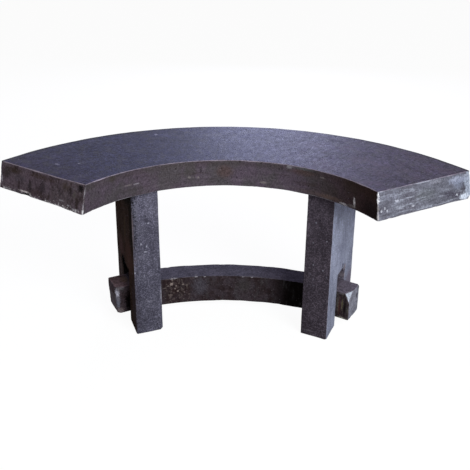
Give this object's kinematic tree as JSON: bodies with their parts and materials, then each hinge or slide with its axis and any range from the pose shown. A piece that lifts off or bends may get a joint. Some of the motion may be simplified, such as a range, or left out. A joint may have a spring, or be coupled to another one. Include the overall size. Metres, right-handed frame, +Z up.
{
  "type": "fire pit bench",
  "caption": "Curved cast concrete bench: an arc-shaped seat slab on slab legs, with a low curved stretcher that runs through a notch in each leg.",
  "frame": {"origin": "middle of the footprint, on the ground", "axes": "+X along the bench, +Y from the fire pit to the back of the bench, +Z up"},
  "size_m": [1.1096, 0.4636, 0.457],
  "materials": {
    "seat_concrete": "smooth charcoal cast concrete, sealed, with worn pale arrises",
    "leg_concrete": "charcoal cast concrete with pale flecks and air holes",
    "stretcher_concrete": "dark brown-black cast concrete with air holes",
    "mortar": "trowelled dark mortar",
    "rubber": "matte",
    "galvanised_steel": "dull zinc",
    "bar_steel": "lightly rusted mill surface"
  },
  "bodies": {
    "root": {"seat_slab": "seat_concrete", "leg_left": "leg_concrete", "leg_right": "leg_concrete", "stretcher": "stretcher_concrete", "bearer_bar_left_inner": "bar_steel", "bearer_bar_left_outer": "bar_steel", "bearer_bar_right_inner": "bar_steel", "bearer_bar_right_outer": "bar_steel", "dowel_left_front": "galvanised_steel", "dowel_left_rear": "galvanised_steel", "dowel_right_front": "galvanised_steel", "dowel_right_rear": "galvanised_steel", "ferrule_left_front": "galvanised_steel", "ferrule_left_rear": "galvanised_steel", "ferrule_right_front": "galvanised_steel", "ferrule_right_rear": "galvanised_steel", "leg_left_lintel_bar_1": "bar_steel", "leg_left_lintel_bar_2": "bar_steel", "leg_left_top_tie_1": "bar_steel", "leg_left_top_tie_2": "bar_steel", "leg_left_upright_bar_1": "bar_steel", "leg_left_upright_bar_2": "bar_steel", "leg_left_upright_bar_3": "bar_steel", "leg_left_upright_bar_4": "bar_steel", "leg_right_lintel_bar_1": "bar_steel", "leg_right_lintel_bar_2": "bar_steel", "leg_right_top_tie_1": "bar_steel", "leg_right_top_tie_2": "bar_steel", "leg_right_upright_bar_1": "bar_steel", "leg_right_upright_bar_2": "bar_steel", "leg_right_upright_bar_3": "bar_steel", "leg_right_upright_bar_4": "bar_steel", "pin_plug_left": "mortar", "pin_plug_right": "mortar", "seat_bar_inner": "bar_steel", "seat_bar_middle": "bar_steel", "seat_bar_outer": "bar_steel", "seat_cross_bar_1": "bar_steel", "seat_cross_bar_2": "bar_steel", "seat_cross_bar_3": "bar_steel", "seat_cross_bar_4": "bar_steel", "seat_cross_bar_5": "bar_steel", "setting_pad_left": "rubber", "setting_pad_right": "rubber", "stretcher_bar_lower": "bar_steel", "stretcher_bar_upper": "bar_steel", "stretcher_pin_left": "galvanised_steel", "stretcher_pin_right": "galvanised_steel", "stretcher_tie_1": "bar_steel", "stretcher_tie_2": "bar_steel", "stretcher_tie_3": "bar_steel", "stretcher_tie_4": "bar_steel", "stretcher_tie_5": "bar_steel"}
  },
  "joints": []
}
